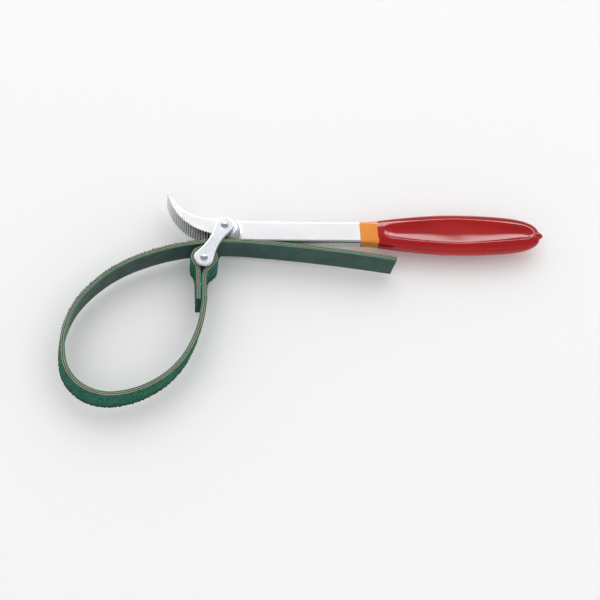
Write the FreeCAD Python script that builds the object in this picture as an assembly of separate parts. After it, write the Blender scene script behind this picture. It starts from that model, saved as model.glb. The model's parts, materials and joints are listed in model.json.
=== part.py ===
"""Strap wrench for spin-on oil filters.

A forged lever ends in a toothed crescent jaw. Two link plates hang from a
rivet through the lever's hub and carry, on a second rivet, the sewn eye of a
laminated belt. The belt makes a loop, comes back between the hub and the eye,
and leaves as a free tail under the lever. Pulling the lever pinches the belt.

Millimetres. X runs along the lever towards the grip, Z along the two rivets.
The model is drawn about the hub rivet's axis at mid thickness, then moved so
that the origin is under the middle of the object, on the surface it lies on.
"""
import FreeCAD, Part
import math
import os

os.makedirs("parts", exist_ok=True)

V = FreeCAD.Vector
Z_UP = V(0, 0, 1)

# ---- driving dimensions ----------------------------------------------------
# forged lever
head_thickness = 17.0          # jaw and hub, along Z
hub_radius = 10.0
heel_cut = 2.2                 # the heel is flat, this far inside the hub's circle
heel_reach = 4.0               # hub axis to the heel's end, towards the jaw
hub_top_cut = 1.7              # the hub's top is straight, this far inside its circle
hub_top_slope = 3.0            # the top rises towards the hub's round end, degrees
shoulder_radius = 3.0          # rounds the hub's top into its end
jaw_outer_x = -0.7             # centre of the toothed edge, along the lever
jaw_outer_radius = 41.0
heel_step = 2.1                # heel to the lowest point of the toothed edge
jaw_inner_x = -8.8             # centre of the smooth hollow edge, along the lever
jaw_inner_radius = 31.9
jaw_tip_angle = 190.5          # where the toothed edge starts, about its centre
jaw_tip_sweep = 7.2            # the hollow edge starts this much further round
jaw_nose = 0.7                 # bulge of the tip's round end
tooth_count = 23
tooth_pitch = 2.1
tooth_depth = 0.75
head_edge_radius = 0.6
hub_edge_radius = 2.0          # round the hub's end
bar_axis_y = 0.8               # the bar and grip run a little above the hub axis
bar_height = 17.5
bar_thickness = 8.0
bar_edge_radius = 1.5
neck_radius = 3.5              # hollow fillet from the hub down to the bar
neck_inset = 0.4               # the fillet stops this far inside the bar's sides
bar_start = 5.5                # inside the hub
tang_relief = 0.35             # the bar is this much slimmer under the coats
tang_lap = 2.0                 # the slimmer bar starts this far inside the full one
tang_reach = 6.0               # and runs this far past the start of the second coat
# dipped handle
bar_length = 99.5              # hub axis to the edge of the first coat
first_coat_shown = 12.9        # before the second coat starts
first_film = 0.15              # proud of the bar, at the first coat's edge
first_coat_sections = [(0.0, 8.9, 4.15, 1.65), (0.5, 9.2, 4.35, 2.2), (1.0, 10.3, 4.95, 4.0)]
handle_film = 1.3              # thickness of each coat over the tang
handle_length = 122.5          # second coat, without its drip nib
handle_half_height = 16.6      # at the widest
handle_half_thickness = 7.0
handle_widest = 0.48           # share of its length
handle_start_share = 0.63      # its height there, as a share of the widest
handle_taper = 0.27            # height lost towards the end, before the end closes
handle_bluntness = 7           # how late the end closes
handle_closing = 0.4           # and how fast
handle_thin_share = 0.30       # least thickness, as a share of the full one
handle_sections = (0, 0.1, 0.22, 0.35, 0.48, 0.6, 0.72, 0.83, 0.91, 0.96)
handle_last_section = 0.985    # one more on the outside of the second coat
first_coat_reach = 7.0         # the bar's coat runs this far into the handle
panel_half_height = 10.2       # sunk panel, at the widest
panel_taper = 1.85             # how fast it narrows to both ends
panel_start = 0.037            # share of the handle's length
panel_end = 0.955
panel_end_reach = 6.0          # its ends round off over this length
panel_depth = 1.1
panel_flare = 1.0              # the panel's sides lean out
panel_sections = (0.05, 0.075, 0.12, 0.22, 0.35, 0.48, 0.6, 0.72, 0.83, 0.9, 0.94)
nib_length = 2.4
nib_radius = 3.8
nib_tip_share = 0.21           # its tip's radius, as a share of its root's
nib_root = 2.6                 # the nib starts this far inside the handle's end
# rivets, sleeve and links
rivet_radius = 2.2
rivet_head_radius = 2.9
rivet_head_height = 1.8
sleeve_radius = 4.6
running_clearance = 0.05
plate_thickness = 2.5
plate_upper_radius = 6.7
plate_lower_radius = 7.1
plate_half_waist = 4.4
plate_edge_radius = 0.7
washer_radius = 5.4
link_lean = 29.3               # link from straight down, towards the jaw, degrees
# belt
strap_width = 20.0
strap_thickness = 3.5
cover_thickness = 1.1          # the rough outer layer, part of the thickness
strap_side_clearance = 0.5     # belt edge to each plate
gap_over_strap = 1.6           # hub heel to belt
gap_under_strap = 2.6          # belt, at the heel, to the top of the eye
eye_slack = 1.8                # sleeve to the belt round it
eye_sag = 1.9                  # the eye sits this much above the rivet
leg_shift = 0.4                # main leg to the eye's middle
leg_bend_radius = 14.0
leg_gap = 0.7                  # between the two legs of the eye
folded_leg_end = 32.3          # cut end of the folded leg, below the rivet
tail_length = 122.0
tail_slant = 2.1               # the tail is cut this much out of square
hinge_gap = 1.0                # slot between rigid spans of the belt
# stitching through the two legs
stitch_margin = 3.5            # cut end to the first row
stitch_rows = 4
stitches_per_row = 5
stitch_row_pitch = 4.2
stitch_length = 2.6
thread_radius = 0.35

# belt loop: arcs that turn the belt back to the hub, as (radius, degrees)
right_run = [(112.0, 23.0), (74.0, 41.0)]
bight = (37.0, 117.0)
left_run = [(66.0, 33.0), (100.0, 30.0)]
top_run = [(111.0, 17.5), (190.0, 8.5)]
heel_bend = (190.0, 5.0)       # carries on past the heel
tail_bend_radius = 1270.0
throat_x = 3.0                 # where the belt is level under the heel
# The belt's pieces, in order: 0 folded leg, 1 its bend, 2 eye, 3 main leg's bend,
# 4 straight, 5-6 right run, 7 bight, 8-9 left run, 10 straight, 11-12 top run,
# 13 heel bend, 14 tail. A hinge lies at (piece, distance past its start).
span_hinges = [(5, 12.0), (6, 10.0), (7, -1.0), (8, 1.0), (9, 10.0), (11, 2.0), (13, 32.0)]
span_names = ["eye", "right_upper", "right_lower", "bight", "left_lower", "left_upper",
              "throat", "tail"]
bight_piece = 7
straight_pieces = (4, 10)
cut_margin = 1.0               # how far a cutter stands past what it cuts

# ---- sizes that follow -----------------------------------------------------
half_head = head_thickness / 2
hub_foot = hub_radius - heel_cut
hub_top = hub_radius - hub_top_cut
top_rise = math.radians(hub_top_slope)
jaw_outer_centre = (jaw_outer_x, jaw_outer_radius - hub_foot + heel_step)
jaw_inner_rise = hub_top + jaw_inner_radius + jaw_inner_x * math.sin(top_rise)
jaw_inner_centre = (jaw_inner_x, jaw_inner_rise / math.cos(top_rise))
first_dip_start = bar_length
second_dip_start = bar_length + first_coat_shown
half_width = strap_width / 2
half_strap = strap_thickness / 2
plate_inner = half_width + strap_side_clearance
plate_outer = plate_inner + plate_thickness
eye_inner_radius = sleeve_radius + eye_slack
eye_mid_radius = eye_inner_radius + half_strap
link_drop = hub_foot + gap_over_strap + strap_thickness + gap_under_strap
link_drop += eye_inner_radius + strap_thickness + eye_sag
lean = math.radians(link_lean)
link_length = link_drop / math.cos(lean)
eye_rivet_at = V(-link_drop * math.tan(lean), -link_drop, 0)
eye_centre = eye_rivet_at + V(leg_shift, eye_sag, 0)
throat_at = V(throat_x, -(hub_foot + gap_over_strap + half_strap), 0)
handle_end = second_dip_start + handle_length


# ---- small drawing helpers -------------------------------------------------
def polar(centre, radius, degrees):
    angle = math.radians(degrees)
    return V(centre[0] + radius * math.cos(angle), centre[1] + radius * math.sin(angle), 0)


def heading_vector(heading):
    return V(math.cos(heading), math.sin(heading), 0)


def left_of(heading):
    return V(-math.sin(heading), math.cos(heading), 0)


def line(a, b):
    return Part.LineSegment(a, b).toShape()


def arc(centre, radius, start, end):
    points = [polar(centre, radius, start + (end - start) * share) for share in (0, 0.5, 1)]
    return Part.Arc(*points).toShape()


def prism(edges, low, high):
    """Solid between two heights over a closed outline."""
    face = Part.Face(Part.Wire(edges))
    face.translate(V(0, 0, low))
    return face.extrude(V(0, 0, high - low))


def rod(radius, low, high, at=V(0, 0, 0)):
    return Part.makeCylinder(radius, high - low, at + V(0, 0, low), Z_UP)


def mirrored(shape):
    return shape.mirror(V(0, 0, 0), Z_UP)


# ---- forged lever ----------------------------------------------------------
def toothed_edge():
    """Corners of the jaw's teeth, from the tip to the hub."""
    step = math.degrees(tooth_pitch / jaw_outer_radius)
    corners = []
    for index in range(tooth_count):
        angle = jaw_tip_angle + (index + 0.5) * step
        corners.append(polar(jaw_outer_centre, jaw_outer_radius, angle))
        corners.append(polar(jaw_outer_centre, jaw_outer_radius - tooth_depth, angle + step / 2))
    return corners


def head():
    """Crescent jaw and hub, one outline drawn through the full thickness."""
    teeth = toothed_edge()
    hollow_start = jaw_tip_angle + jaw_tip_sweep
    tip_low = polar(jaw_outer_centre, jaw_outer_radius, jaw_tip_angle)
    tip_high = polar(jaw_inner_centre, jaw_inner_radius, hollow_start)
    tip_heading = math.atan2(tip_high.y - tip_low.y, tip_high.x - tip_low.x)
    tip_nose = (tip_low + tip_high) * 0.5 + left_of(tip_heading) * jaw_nose
    slope_end = 270 + hub_top_slope
    hollow_end = polar(jaw_inner_centre, jaw_inner_radius, slope_end)
    shoulder_rise = hub_top - shoulder_radius
    shoulder_along = math.sqrt((hub_radius - shoulder_radius) ** 2 - shoulder_rise ** 2)
    shoulder = heading_vector(top_rise) * shoulder_along + left_of(top_rise) * shoulder_rise
    shoulder_angle = math.degrees(math.atan2(shoulder.y, shoulder.x))
    heel_angle = -math.degrees(math.asin(hub_foot / hub_radius))
    heel_right = polar((0, 0), hub_radius, heel_angle)
    heel_left = V(-heel_reach, -hub_foot, 0)
    edges = [Part.Arc(tip_low, tip_nose, tip_high).toShape(),
             arc(jaw_inner_centre, jaw_inner_radius, hollow_start, slope_end),
             line(hollow_end, shoulder + left_of(top_rise) * shoulder_radius),
             arc((shoulder.x, shoulder.y), shoulder_radius, 90 + hub_top_slope, shoulder_angle),
             arc((0, 0), hub_radius, shoulder_angle, heel_angle),
             line(heel_right, heel_left)]
    corners = [heel_left] + teeth[::-1] + [tip_low]
    edges += [line(a, b) for a, b in zip(corners, corners[1:])]
    return rounded_head(prism(edges, -half_head, half_head))


def on_smooth_rim(edge):
    """Whether a face edge is on the hollow, the hub's top or its round end."""
    box = edge.BoundBox
    at_face = box.ZLength < tooth_depth and edge.Length > tooth_pitch
    return at_face and box.YMax > 0 and box.XMax > jaw_inner_x


def edge_radius_at(vertex):
    """How much an edge is rounded here: the hub's round end more than the rest."""
    off_circle = abs(math.hypot(vertex.X, vertex.Y) - hub_radius)
    return hub_edge_radius if off_circle < head_edge_radius / 10 else head_edge_radius


def rounded_head(solid):
    """Rounds the smooth rim; the rounding grows along the hub's shoulder."""
    document = FreeCAD.newDocument("head")
    sharp = document.addObject("Part::Feature", "sharp")
    sharp.Shape = solid
    rounding = document.addObject("Part::Fillet", "rounding")
    rounding.Base = sharp
    rounding.Edges = [(number, edge_radius_at(edge.firstVertex()), edge_radius_at(edge.lastVertex()))
                      for number, edge in enumerate(solid.Edges, 1) if on_smooth_rim(edge)]
    document.recompute()
    return rounding.Shape


def rounded_section(x, half_height, half_thickness, radius):
    """Closed section across the lever, with round corners."""
    half_y = half_height - radius
    half_z = half_thickness - radius
    edges = []
    for index, (sy, sz) in enumerate(((1, 1), (-1, 1), (-1, -1), (1, -1))):
        edges.append(bar_corner(half_y * sy, half_z * sz, radius, index * 90))
    following = edges[1:] + edges[:1]
    sides = [line(a.lastVertex().Point, b.firstVertex().Point) for a, b in zip(edges, following)]
    section = Part.Wire([edge for pair in zip(edges, sides) for edge in pair])
    section.translate(V(x, bar_axis_y, 0))
    return section


def bar_corner(y, z, radius, start):
    points = []
    for step in (0, 45, 90):
        angle = math.radians(start + step)
        points.append(V(0, y + radius * math.cos(angle), z + radius * math.sin(angle)))
    return Part.Arc(*points).toShape()


def rounded_bar(start, end, height, thickness, radius):
    """Bar along X with round corners."""
    face = Part.Face(rounded_section(start, height / 2, thickness / 2, radius))
    return face.extrude(V(end - start, 0, 0))


def neck():
    """Hollow ring of steel where the hub's wall runs down into the bar."""
    half_bar = bar_thickness / 2
    outer = hub_radius + neck_radius
    top = half_bar + neck_radius
    corner = V(outer, 0, top)
    middle = corner - V(math.cos(math.pi / 4), 0, math.sin(math.pi / 4)) * neck_radius
    inner = hub_radius - cut_margin
    profile = Part.Wire([line(V(inner, 0, 0), V(outer, 0, 0)),
                         line(V(outer, 0, 0), V(outer, 0, half_bar)),
                         Part.Arc(V(outer, 0, half_bar), middle, V(hub_radius, 0, top)).toShape(),
                         line(V(hub_radius, 0, top), V(inner, 0, top)),
                         line(V(inner, 0, top), V(inner, 0, 0))])
    ring = Part.Face(profile).revolve(V(0, 0, 0), Z_UP, 360)
    width = bar_height - 2 * neck_inset
    slab = Part.makeBox(outer, width, 2 * top, V(0, bar_axis_y - width / 2, -top))
    return ring.fuse(mirrored(ring)).common(slab)


def handle_shape(x):
    """Half height and half thickness of the handle at a station."""
    share = (x - second_dip_start) / handle_length
    if share <= handle_widest:
        growth = math.sin(math.pi / 2 * share / handle_widest)
        swell = handle_start_share + (1 - handle_start_share) * growth
    else:
        fall = (share - handle_widest) / (1 - handle_widest)
        swell = (1 - handle_taper * fall ** 2) * (1 - fall ** handle_bluntness) ** handle_closing
    thick = handle_thin_share + (1 - handle_thin_share) * swell
    return handle_half_height * swell, handle_half_thickness * thick


def stadium(x, half_height, half_thickness):
    """Closed section across the handle: two flats joined by half circles."""
    y = half_height - half_thickness
    r = half_thickness
    axis = V(x, bar_axis_y, 0)
    top = Part.Arc(axis + V(0, y, -r), axis + V(0, y + r, 0), axis + V(0, y, r)).toShape()
    low = Part.Arc(axis + V(0, -y, r), axis + V(0, -y - r, 0), axis + V(0, -y, -r)).toShape()
    return Part.Wire([top, line(axis + V(0, y, r), axis + V(0, -y, r)),
                      low, line(axis + V(0, -y, -r), axis + V(0, y, -r))])


def oblong(x, half_height, low, high):
    """Closed four-sided section of the sunk panel's cutter."""
    wide = half_height + panel_flare
    outline = ((-half_height, low), (half_height, low), (wide, high), (-wide, high))
    corners = [V(x, bar_axis_y + y, z) for y, z in outline]
    return Part.Wire([line(a, b) for a, b in zip(corners, corners[1:] + corners[:1])])


def handle_form(inset):
    """Solid handle with a sunk panel on each face, taken in by a number of coats."""
    shares = handle_sections + ((handle_last_section,) if inset == 0 else ())
    sections = []
    for share in shares:
        x = second_dip_start + share * (handle_length - inset)
        half_height, half_thickness = handle_shape(second_dip_start + share * handle_length)
        sections.append(stadium(x, half_height - inset, half_thickness - inset))
    body = Part.makeLoft(sections, True)
    return body.cut(panel_cutters(inset))


def panel_shape(share):
    """Half height of the sunk panel at a share of the handle's length."""
    narrowing = panel_taper * abs(share - handle_widest) ** 1.6
    end_room = min(share - panel_start, panel_end - share) * handle_length
    rounding = max(0, 1 - end_room / panel_end_reach)
    return panel_half_height * (1 - narrowing) * math.sqrt(1 - rounding ** 2)


def panel_cutters(inset):
    """What is cut from both faces of the handle to sink its panels."""
    sections = []
    for share in panel_sections:
        x = second_dip_start + share * handle_length
        half_thickness = handle_shape(x)[1]
        floor = half_thickness - inset - panel_depth
        sections.append(oblong(x, panel_shape(share) + inset, floor, half_thickness + cut_margin))
    cutter = Part.makeLoft(sections, True)
    return cutter.fuse(mirrored(cutter))


def forged_lever():
    """Jaw, hub, bar and the tang inside the handle: one forging."""
    bar = rounded_bar(bar_start, bar_length, bar_height, bar_thickness, bar_edge_radius)
    tang = rounded_bar(bar_length - tang_lap, second_dip_start + tang_reach,
                       bar_height - 2 * tang_relief, bar_thickness - 2 * tang_relief,
                       bar_edge_radius)
    body = head().fuse([neck(), bar, tang, handle_form(2 * handle_film)]).removeSplitter()
    bore = rod(rivet_radius + running_clearance, -half_head, half_head)
    return body.cut(bore)


def first_coat_form():
    """What the second coat covers: the lever with its first coat on."""
    shown = Part.makeLoft([rounded_section(first_dip_start + share * first_coat_shown, *size)
                           for share, *size in first_coat_sections], True)
    over_bar = rounded_bar(second_dip_start - cut_margin, second_dip_start + first_coat_reach,
                           bar_height + 2 * first_film, bar_thickness + 2 * first_film,
                           bar_edge_radius + first_film)
    return shown.fuse([over_bar, handle_form(handle_film)])


def second_coat_form():
    root = V(handle_end - nib_root, bar_axis_y, 0)
    nib = Part.makeCone(nib_radius, nib_radius * nib_tip_share, nib_length + nib_root, root,
                        V(1, 0, 0))
    return handle_form(0).fuse(nib)


# ---- links, rivets, washers ------------------------------------------------
def waist_arc():
    """Radius and place of the arc that hollows the link's side between its two ends."""
    low = 0.0
    high = link_length ** 2
    for _ in range(60):
        radius = (low + high) / 2
        upper, lower = [math.sqrt((end - plate_half_waist) * (end + plate_half_waist + 2 * radius))
                        for end in (plate_upper_radius, plate_lower_radius)]
        if upper + lower < link_length:
            low = radius
        else:
            high = radius
    return radius, upper


def link_plate():
    """Dog-bone plate, drawn with its upper hole at the origin and its length along X."""
    radius, along = waist_arc()
    centre = V(along, plate_half_waist + radius, 0)
    upper_angle = math.degrees(math.atan2(centre.y, centre.x))
    lower_angle = math.degrees(math.atan2(centre.y, centre.x - link_length))
    other = (centre.x, -centre.y)
    edges = [arc((0, 0), plate_upper_radius, upper_angle, 360 - upper_angle),
             arc(other, radius, 180 - upper_angle, 180 - lower_angle),
             arc((link_length, 0), plate_lower_radius, -lower_angle, lower_angle),
             arc((centre.x, centre.y), radius, 180 + lower_angle, 180 + upper_angle)]
    plate = prism(edges, plate_inner, plate_outer)
    rims = [edge for edge in plate.Edges if edge.BoundBox.ZLength < 0.01]
    plate = plate.makeFillet(plate_edge_radius, rims)
    for at in (V(0, 0, 0), V(link_length, 0, 0)):
        plate = plate.cut(rod(rivet_radius, plate_inner, plate_outer, at))
    plate.rotate(V(0, 0, 0), Z_UP, math.degrees(math.atan2(eye_rivet_at.y, eye_rivet_at.x)))
    return plate


def rivet(at):
    """Plain shank with a domed head on each end."""
    shank = rod(rivet_radius, -plate_outer, plate_outer)
    ball_radius = (rivet_head_radius ** 2 + rivet_head_height ** 2) / (2 * rivet_head_height)
    ball = Part.makeSphere(ball_radius, V(0, 0, plate_outer + rivet_head_height - ball_radius))
    dome = ball.common(rod(rivet_head_radius, plate_outer, plate_outer + rivet_head_height))
    solid = shank.fuse([dome, mirrored(dome)])
    solid.translate(at)
    return solid


def hub_washer():
    """Spacer between the hub's face and the link plate."""
    low = half_head + running_clearance
    ring = rod(washer_radius, low, plate_inner)
    return ring.cut(rod(rivet_radius + running_clearance, low, plate_inner))


def eye_sleeve():
    """Steel tube that the belt's eye turns on."""
    reach = plate_inner - running_clearance
    tube = rod(sleeve_radius, -reach, reach, eye_rivet_at)
    return tube.cut(rod(rivet_radius + running_clearance, -reach, reach, eye_rivet_at))


# ---- belt route ------------------------------------------------------------
# A route is a list of pieces, each (start point, heading, length, turn radius).
# A radius of 0 is straight, above 0 turns right, below 0 turns left.
def piece_point(piece, along, offset=0.0):
    """Point and heading at a distance along one piece, offset to the left."""
    start, heading, _, radius = piece
    if radius == 0:
        return start + heading_vector(heading) * along + left_of(heading) * offset, heading
    centre = start - left_of(heading) * radius
    turned = heading - along / radius
    return centre + left_of(turned) * (radius + offset), turned


def extend(route, length, radius=0.0):
    point, heading = piece_point(route[-1], route[-1][2])
    route.append((point, heading, length, radius))


def turn(route, radius, degrees):
    extend(route, abs(radius) * math.radians(degrees), radius)


def loop_arcs(route, straight_down, straight_up):
    """The loop from the eye's main leg round to the heel, with its two straights."""
    extend(route, straight_down)
    for radius, degrees in right_run + [bight] + left_run:
        turn(route, radius, degrees)
    extend(route, straight_up)
    for radius, degrees in top_run:
        turn(route, radius, degrees)


def eye_route():
    """From the cut end up the folded leg, round the sleeve and down to the main leg."""
    reach = eye_mid_radius + leg_bend_radius
    main_bend = math.acos((leg_bend_radius - leg_shift) / reach)
    folded_shift = strap_thickness + leg_gap + leg_shift
    folded_bend = math.acos((leg_bend_radius + folded_shift) / reach)
    top_of_leg = eye_centre.y - reach * math.sin(folded_bend)
    cut_end = V(eye_centre.x - folded_shift, eye_rivet_at.y - folded_leg_end, 0)
    route = [(cut_end, math.pi / 2, top_of_leg - cut_end.y, 0.0)]
    turn(route, -leg_bend_radius, math.degrees(folded_bend))
    turn(route, eye_mid_radius, 180 + math.degrees(folded_bend + main_bend))
    turn(route, -leg_bend_radius, math.degrees(main_bend))
    return route


def belt_route():
    """Whole belt; the two straights are as long as brings it level under the heel."""
    trial = eye_route()
    turned = sum(degrees for _, degrees in right_run + [bight] + left_run)
    loop_arcs(trial, 0.0, 0.0)
    end, _ = piece_point(trial[-1], trial[-1][2])
    miss = throat_at - end
    down = heading_vector(-math.pi / 2)
    up = heading_vector(-math.pi / 2 - math.radians(turned))
    across = down.x * up.y - down.y * up.x
    straight_down = (miss.x * up.y - miss.y * up.x) / across
    straight_up = (down.x * miss.y - down.y * miss.x) / across
    route = eye_route()
    loop_arcs(route, straight_down, straight_up)
    turn(route, *heel_bend)
    extend(route, tail_length - heel_bend[0] * math.radians(heel_bend[1]), tail_bend_radius)
    return route


def stations(route):
    """Distance along the belt at the start of each piece, and its whole length."""
    marks = [0.0]
    for piece in route:
        marks.append(marks[-1] + piece[2])
    return marks


def route_point(route, distance, offset=0.0):
    marks = stations(route)
    for piece, start in zip(route, marks):
        if distance <= start + piece[2]:
            return piece_point(piece, distance - start, offset)
    return piece_point(route[-1], distance - marks[-2], offset)


def side_edges(route, start, end, offset):
    """Edges of one side of the belt between two distances."""
    edges = []
    for piece, mark in zip(route, stations(route)):
        low = max(start, mark) - mark
        high = min(end, mark + piece[2]) - mark
        if high - low > 1e-6:
            stops = (low, (low + high) / 2, high)
            points = [piece_point(piece, stop, offset)[0] for stop in stops]
            if piece[3] == 0:
                edges.append(line(points[0], points[2]))
            else:
                edges.append(Part.Arc(*points).toShape())
    return edges


def belt_layer(route, start, end, low, high):
    """One layer of the belt between two distances, between two offsets."""
    outer = side_edges(route, start, end, high)
    inner = side_edges(route, start, end, low)
    caps = [line(route_point(route, at, low)[0], route_point(route, at, high)[0])
            for at in (start, end)]
    edges = outer + [caps[1]] + inner[::-1] + [caps[0]]
    face = Part.Face(Part.Wire(Part.__sortEdges__(edges)))
    face.translate(V(0, 0, -half_width))
    return face.extrude(V(0, 0, strap_width))


def hinge_stations(route):
    """Where the belt's rigid spans meet, as distances along it."""
    marks = stations(route)
    return [marks[piece] + past for piece, past in span_hinges]


def tail_cutter(route):
    """Wedge past the slanted cut at the belt's free end."""
    end, _ = route_point(route, stations(route)[-1])
    low = -half_width - cut_margin
    high = half_width + cut_margin
    past = end.x + strap_thickness
    outline = ((end.x - tail_slant, low), (end.x, high), (past, high), (past, low))
    corners = [V(x, end.y - strap_width, z) for x, z in outline]
    face = Part.Face(Part.Wire([line(a, b) for a, b in zip(corners, corners[1:] + corners[:1])]))
    return face.extrude(V(0, 2 * strap_width, 0))


def belt_spans(route):
    """Core and rough cover of each rigid span of the belt, by node name."""
    cuts = hinge_stations(route)
    starts = [0.0] + [cut + hinge_gap / 2 for cut in cuts]
    ends = [cut - hinge_gap / 2 for cut in cuts] + [stations(route)[-1]]
    parting = half_strap - cover_thickness
    nodes = {}
    for name, start, end in zip(span_names, starts, ends):
        nodes["strap_core_" + name] = belt_layer(route, start, end, -half_strap, parting)
        nodes["strap_cover_" + name] = belt_layer(route, start, end, parting, half_strap)
    for name in ("strap_core_tail", "strap_cover_tail"):
        nodes[name] = nodes[name].cut(tail_cutter(route))
    return nodes


def eye_stitching():
    """Rows of thread that hold the folded leg to the main leg."""
    folded_x = eye_centre.x - strap_thickness - leg_gap - leg_shift - half_strap
    main_x = eye_centre.x - leg_shift + half_strap
    pitch = strap_width / (stitches_per_row + 0.5)
    first_row = eye_rivet_at.y - folded_leg_end + stitch_margin
    threads = []
    for row in range(stitch_rows):
        y = first_row + row * stitch_row_pitch
        for index in range(stitches_per_row):
            z = (index - (stitches_per_row - 1) / 2) * pitch
            threads.append(stitch(folded_x, main_x, y, z))
    return Part.makeCompound(threads)


def stitch(left_x, right_x, y, z):
    """One stitch: a post through both legs and a short run of thread on each face."""
    width = right_x - left_x
    post = Part.makeCylinder(thread_radius, width, V(left_x, y, z - stitch_length / 2), V(1, 0, 0))
    runs = [Part.makeCylinder(thread_radius, stitch_length, V(x, y, z - stitch_length / 2), Z_UP)
            for x in (left_x, right_x)]
    return post.fuse(runs)


# ---- assembly --------------------------------------------------------------
def build():
    route = belt_route()
    lever = forged_lever()
    first_form = first_coat_form()
    front_plate = link_plate()
    washer = hub_washer()
    nodes = {"forged_lever": lever,
             "first_dip_coat": first_form.cut(lever),
             "second_dip_coat": second_coat_form().cut(first_form.fuse(lever)),
             "front_link_plate": front_plate,
             "rear_link_plate": mirrored(front_plate),
             "hub_rivet": rivet(V(0, 0, 0)),
             "eye_rivet": rivet(eye_rivet_at),
             "eye_sleeve": eye_sleeve(),
             "front_hub_washer": washer,
             "rear_hub_washer": mirrored(washer),
             "eye_stitching": eye_stitching()}
    nodes.update(belt_spans(route))
    return nodes, route


def main():
    nodes, route = build()
    box = FreeCAD.BoundBox()
    for shape in nodes.values():
        box.add(shape.optimalBoundingBox(False, False))
    shift = V(-box.Center.x, -box.Center.y, -box.ZMin)
    for name, shape in nodes.items():
        shape.translate(shift)
        shape.exportStep("parts/" + name + ".step")
        print(name, "valid", shape.isValid(), "solids", len(shape.Solids),
              "volume", round(shape.Volume, 1))
    print("size", round(box.XLength, 2), round(box.YLength, 2), round(box.ZLength, 2))
    print("hub rivet axis", shift)
    print("eye rivet axis", eye_rivet_at + shift)
    print("link length", link_length)
    for distance in hinge_stations(route):
        point, heading = route_point(route, distance)
        print("span hinge", point + shift, round(math.degrees(heading), 2))
    start, heading, _, radius = route[bight_piece]
    centre = start - left_of(heading) * radius
    print("bight centre", centre + shift, "inner radius", radius - half_strap)
    print("belt length", stations(route)[-1])
    print("straights", [route[piece][2] for piece in straight_pieces])


main()
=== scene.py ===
# %% [markdown]
# # A strap wrench for spin-on oil filters
# A forged lever ends in a toothed jaw, two link plates hang from its hub, and a belt of rubber and
# woven plies makes the loop that grips the filter. Every part that fits or moves already has its
# place in the frame that the first cell loads. What follows gives each part its surface: new
# materials for the steel parts, and new meshes for the dipped grip and for the belt.

# %% Load the frame
import json
import math
import random
import bpy
from mathutils import Euler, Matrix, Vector


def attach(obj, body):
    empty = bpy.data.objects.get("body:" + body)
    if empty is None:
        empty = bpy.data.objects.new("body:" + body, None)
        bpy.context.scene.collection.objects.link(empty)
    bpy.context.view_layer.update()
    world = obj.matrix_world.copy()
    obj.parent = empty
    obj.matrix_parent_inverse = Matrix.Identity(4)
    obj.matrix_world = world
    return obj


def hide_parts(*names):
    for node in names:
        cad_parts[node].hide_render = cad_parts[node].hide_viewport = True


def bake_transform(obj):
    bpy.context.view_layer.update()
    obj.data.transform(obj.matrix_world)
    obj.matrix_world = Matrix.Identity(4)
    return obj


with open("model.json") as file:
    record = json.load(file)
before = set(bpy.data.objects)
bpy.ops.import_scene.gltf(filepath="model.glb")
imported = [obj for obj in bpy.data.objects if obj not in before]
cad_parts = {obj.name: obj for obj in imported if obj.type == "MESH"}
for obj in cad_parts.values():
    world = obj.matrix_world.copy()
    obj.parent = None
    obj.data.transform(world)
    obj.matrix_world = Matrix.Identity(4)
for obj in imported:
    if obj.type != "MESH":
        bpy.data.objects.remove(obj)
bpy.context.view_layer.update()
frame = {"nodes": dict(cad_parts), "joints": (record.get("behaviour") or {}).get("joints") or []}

MM = 0.001


def joint_place(name):
    """Where a joint's axis is, in metres."""
    return Vector(next(joint for joint in frame["joints"] if joint["name"] == name)["pos_m"])


hub = joint_place("link_swing")
eye_axis = joint_place("eye_turn")
print("hub axis", hub, "eye axis", eye_axis)

# %% [markdown]
# ## Camera, floor and light
# The wrench lies flat and is seen from above and a little from the belt's side. A long lens keeps
# the lever straight. One wide softbox hangs above the far side, in an evenly pale room.

# %% Camera
camera = bpy.data.objects.new("camera", bpy.data.cameras.new("camera"))
camera.data.lens = 90.0
camera.data.sensor_width = 36.0
camera.location = hub + Vector((-0.05732, -0.57796, 0.92749))
camera.rotation_euler = Euler([math.radians(angle) for angle in (29.54, -5.30, -2.66)])
bpy.context.scene.collection.objects.link(camera)
bpy.context.scene.camera = camera
print("camera at", camera.location)

# %% Floor
floor_mesh = bpy.data.meshes.new("floor")
floor_half = 4.0
corners = [(x * floor_half, y * floor_half, 0.0) for x, y in ((-1, -1), (1, -1), (1, 1), (-1, 1))]
floor_mesh.from_pydata(corners, [], [(0, 1, 2, 3)])
floor = bpy.data.objects.new("floor", floor_mesh)
bpy.context.scene.collection.objects.link(floor)


# %% [markdown]
# Node trees are easier to read when one call adds a node, sets it and fills its sockets. The same
# three helpers serve the shader trees and the geometry trees below.

# %% Helpers for node trees and colours
def fill(tree, socket, value):
    """A socket takes a link from another socket, or a plain value."""
    if isinstance(value, bpy.types.NodeSocket):
        tree.links.new(value, socket)
    elif value is not None:
        socket.default_value = value


def put(tree, kind, values=(), **settings):
    """Adds a node; its values go to its sockets in order, or by name."""
    node = tree.nodes.new(kind)
    for name, setting in settings.items():
        setattr(node, name, setting)
    pairs = values.items() if isinstance(values, dict) else enumerate(values)
    for key, value in pairs:
        fill(tree, node.inputs[key], value)
    return node


def calc(tree, operation, *values):
    """One arithmetic node; gives its result."""
    return put(tree, "ShaderNodeMath", values, operation=operation).outputs[0]


def axes_of(tree, vector):
    """The three parts of a vector."""
    return put(tree, "ShaderNodeSeparateXYZ", (vector,)).outputs


def vector_of(tree, x, y, z):
    """A vector from its three parts."""
    return put(tree, "ShaderNodeCombineXYZ", (x, y, z)).outputs[0]


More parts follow.
